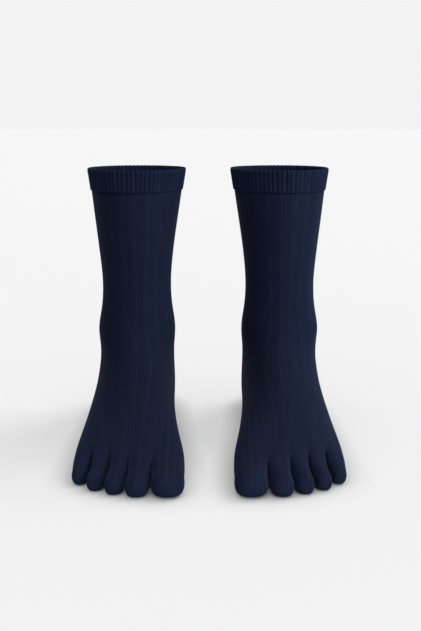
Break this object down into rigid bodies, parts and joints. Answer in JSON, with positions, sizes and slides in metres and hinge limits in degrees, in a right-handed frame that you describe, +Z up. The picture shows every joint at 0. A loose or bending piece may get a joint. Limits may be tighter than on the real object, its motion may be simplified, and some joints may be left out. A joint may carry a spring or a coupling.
{
  "type": "pair of toe socks",
  "caption": "Pair of crew-height knitted toe socks in the worn, filled-out shape, standing side by side, with a separate pocket for each toe and a ribbed double cuff at the open mouth",
  "frame": {"origin": "On the floor midway between the two soles: the centre of the pair's bounding box, at its bottom.", "axes": "+Z is up, out of the cuffs. The toes point to -Y and the heels to +Y. The sock of the right foot is at -X, that of the left foot at +X, big toes towards each other."},
  "size_m": [0.2348, 0.2635, 0.25],
  "materials": {
    "jersey_knit": "fine plain knit cotton, navy, matt",
    "rib_knit": "one-and-one ribbed knit cotton, navy, matt"
  },
  "bodies": {
    "root": {"right_sock": "jersey_knit", "right_cuff": "rib_knit", "left_sock": "jersey_knit", "left_cuff": "rib_knit"}
  },
  "joints": []
}
